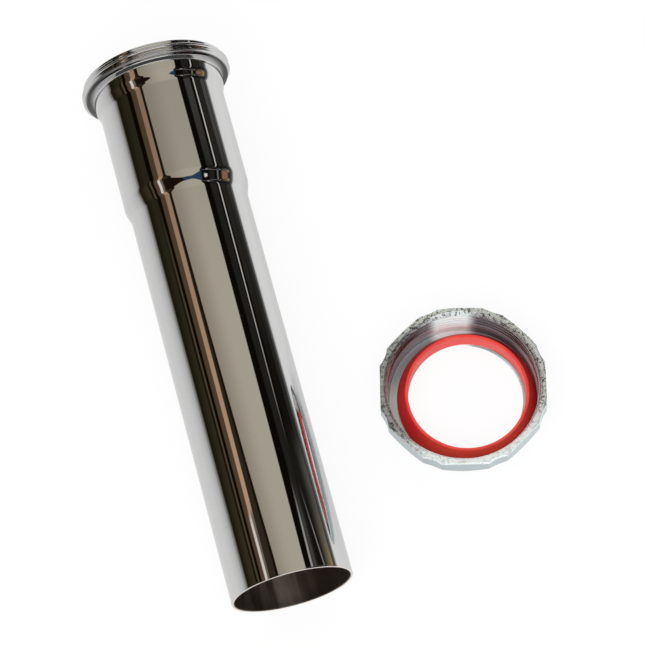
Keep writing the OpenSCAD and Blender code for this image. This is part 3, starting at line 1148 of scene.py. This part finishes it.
def make_shell():
    """Half a cylinder over the pipe, from one side of the floor to the other."""
    axis = pipe_end()
    angles = np.radians(np.linspace(-90.0, 90.0, SHELL_SIDES + 1))
    corners = []
    for y in (SHELL_FRONT, SHELL_BACK):
        corners += [(axis.x + SHELL_R * math.sin(a), y, axis.z + SHELL_R * math.cos(a)) for a in angles]
    count = len(angles)
    faces = [(k, k + 1, count + k + 1, count + k) for k in range(SHELL_SIDES)]
    shell = simple_mesh("studio_shell", corners, faces)
    shell.data.shade_smooth()
    shell.data.materials.append(shell_material())
    only_mirrored(shell)


def glow_material(name, colour, strength):
    material, tree, surface = new_stage_material(name)
    emit(tree, surface, colour_input(colour), strength)
    return material


def make_card(name, low, high, colour, strength):
    """An upright card across the view, in front of the part."""
    left, right = low[0], high[0]
    corners = [(left, *low[1:]), (right, *low[1:]), (right, *high[1:]), (left, *high[1:])]
    card = simple_mesh(name, corners, [(0, 1, 2, 3)])
    card.data.materials.append(glow_material(name, colour, strength))
    only_mirrored(card)


# Floor, world, lamp and camera, in metres

WHITE = (1.0, 1.0, 1.0)
BLACK = (0.0, 0.0, 0.0)
FLOOR_HALF = 4.0
FLOOR_EVEN_SEEN = 0.88
FLOOR_EVEN_MIRRORED = 0.4
FLOOR_LEFT_START = -0.035
FLOOR_LEFT_POWER = 0.6
FLOOR_LEFT_FALL = 1.3
FLOOR_LEFT_LEAST = 0.61
FLOOR_RIGHT_RISE = (0.115, 0.25)
FLOOR_RIGHT_BACK = 0.025
FLOOR_RIGHT_TAIL = 0.04
MIRRORED_SKY = (0.12, 0.12, 0.11)
WINDOW_LOW = (-0.24, -0.59, 0.03)
WINDOW_HIGH = (0.19, -0.59, 0.29)
WINDOW_COLOUR = (1.0, 0.985, 0.96)
WINDOW_STRENGTH = 1.45
KEY_PLACE = (-0.25, -0.5, 0.9)
KEY_SIZE = 0.9
KEY_POWER = 6.0


def floor_painted_shade(tree, side):
    """Painted shade on the mirrored floor: it dims to the left, and a painted shadow right beside the pipe.
    """
    leftward = greater(tree, minus(tree, FLOOR_LEFT_START, side), 0.0)
    fall = times(tree, maths(tree, "POWER", leftward, FLOOR_LEFT_POWER), FLOOR_LEFT_FALL)
    dim = greater(tree, maths(tree, "DIVIDE", 1.0, plus(tree, fall, 1.0)), FLOOR_LEFT_LEAST)
    # Painted shadow right beside the pipe
    return times(tree, dim, spread(tree, maths(tree, "ABSOLUTE", side), 0.028, 0.055, 0.86, 0.98))


def floor_right(tree, side, along):
    """The floor fades out past the nut, a little further out at the back."""
    tail = maths(tree, "DIVIDE", FLOOR_RIGHT_TAIL, greater(tree, side, FLOOR_RIGHT_TAIL))
    reach = minus(tree, side, times(tree, step_up(tree, along, 0.0, 0.10), FLOOR_RIGHT_BACK))
    return greater(tree, step_down(tree, reach, *FLOOR_RIGHT_RISE), tail)


def mirrored_floor(tree):
    """How bright the floor looks in metal, with painted shade beside the pipe and to the left."""
    place = world_place(tree)
    side = minus(tree, place[0], pipe_end().x)
    both = times(tree, floor_painted_shade(tree, side), floor_right(tree, side, place[1]))
    return maths(tree, "MINIMUM", both, 1.0)


def floor_material():
    """A white floor that keeps a soft shadow, seen by the camera or mirrored in metal."""
    material, tree, surface = new_stage_material("pale_floor")
    path = tree.nodes.new("ShaderNodeLightPath")
    glossy = path.outputs["Is Glossy Ray"]
    mirrored = blend(tree, mirrored_floor(tree), BLACK, WHITE)
    colour = blend(tree, glossy, WHITE, mirrored)
    diffuse = tree.nodes.new("ShaderNodeBsdfDiffuse")
    tree.links.new(colour, diffuse.inputs["Color"])
    even = tree.nodes.new("ShaderNodeEmission")
    tree.links.new(colour, even.inputs["Color"])
    seen = times(tree, path.outputs["Is Camera Ray"], FLOOR_EVEN_SEEN)
    mix = tree.nodes.new("ShaderNodeMixShader")
    put(tree, mix.inputs[0], plus(tree, seen, times(tree, glossy, FLOOR_EVEN_MIRRORED)))
    tree.links.new(diffuse.outputs[0], mix.inputs[1])
    tree.links.new(even.outputs[0], mix.inputs[2])
    tree.links.new(mix.outputs[0], surface)
    return material


def make_floor():
    half = FLOOR_HALF
    corners = [(-half, -half, 0.0), (half, -half, 0.0), (half, half, 0.0), (-half, half, 0.0)]
    floor = simple_mesh("pale_floor", corners, [(0, 1, 2, 3)])
    floor.data.materials.append(floor_material())


def make_world():
    """An even white sky that lights the part. The camera sees it white, and metal sees it dark grey."""
    world = bpy.data.worlds.new("studio_world")
    bpy.context.scene.world = world
    world.use_nodes = True
    tree = world.node_tree
    ground = tree.nodes["Background"]
    path = tree.nodes.new("ShaderNodeLightPath")
    level = blend(tree, path.outputs["Is Camera Ray"], (SKY_LEVEL,) * 3, WHITE)
    level = blend(tree, path.outputs["Is Glossy Ray"], level, MIRRORED_SKY)
    put(tree, ground.inputs["Color"], level)
    ground.inputs["Strength"].default_value = 1.0


def make_lamp(name, place, target, size, power):
    data = bpy.data.lights.new(name, "AREA")
    data.shape = "RECTANGLE"
    data.size = size
    data.size_y = size
    data.energy = power
    lamp = bpy.data.objects.new(name, data)
    lamp.location = place
    aim = Vector(target) - Vector(place)
    lamp.rotation_euler = aim.to_track_quat("-Z", "Y").to_euler()
    lamp.visible_glossy = False
    lamp.visible_camera = False
    bpy.context.scene.collection.objects.link(lamp)


def make_camera():
    data = bpy.data.cameras.new("camera")
    data.sensor_width = CAMERA_SENSOR
    data.lens = CAMERA_LENS
    data.clip_start, data.clip_end = CAMERA_CLIP
    camera = bpy.data.objects.new("camera", data)
    camera.location = CAMERA_PLACE
    camera.rotation_euler = Euler([math.radians(a) for a in CAMERA_TURN], "XYZ")
    bpy.context.scene.collection.objects.link(camera)
    bpy.context.scene.camera = camera


bpy.context.scene.view_settings.view_transform = "Standard"
make_camera()
make_floor()
make_world()
make_shell()
make_card("front_window", WINDOW_LOW, WINDOW_HIGH, WINDOW_COLOUR, WINDOW_STRENGTH)
make_lamp("soft_key", KEY_PLACE, (0.0, 0.0, 0.0), KEY_SIZE, KEY_POWER)
make_tail_pipe()
make_slip_nut()
make_washer()
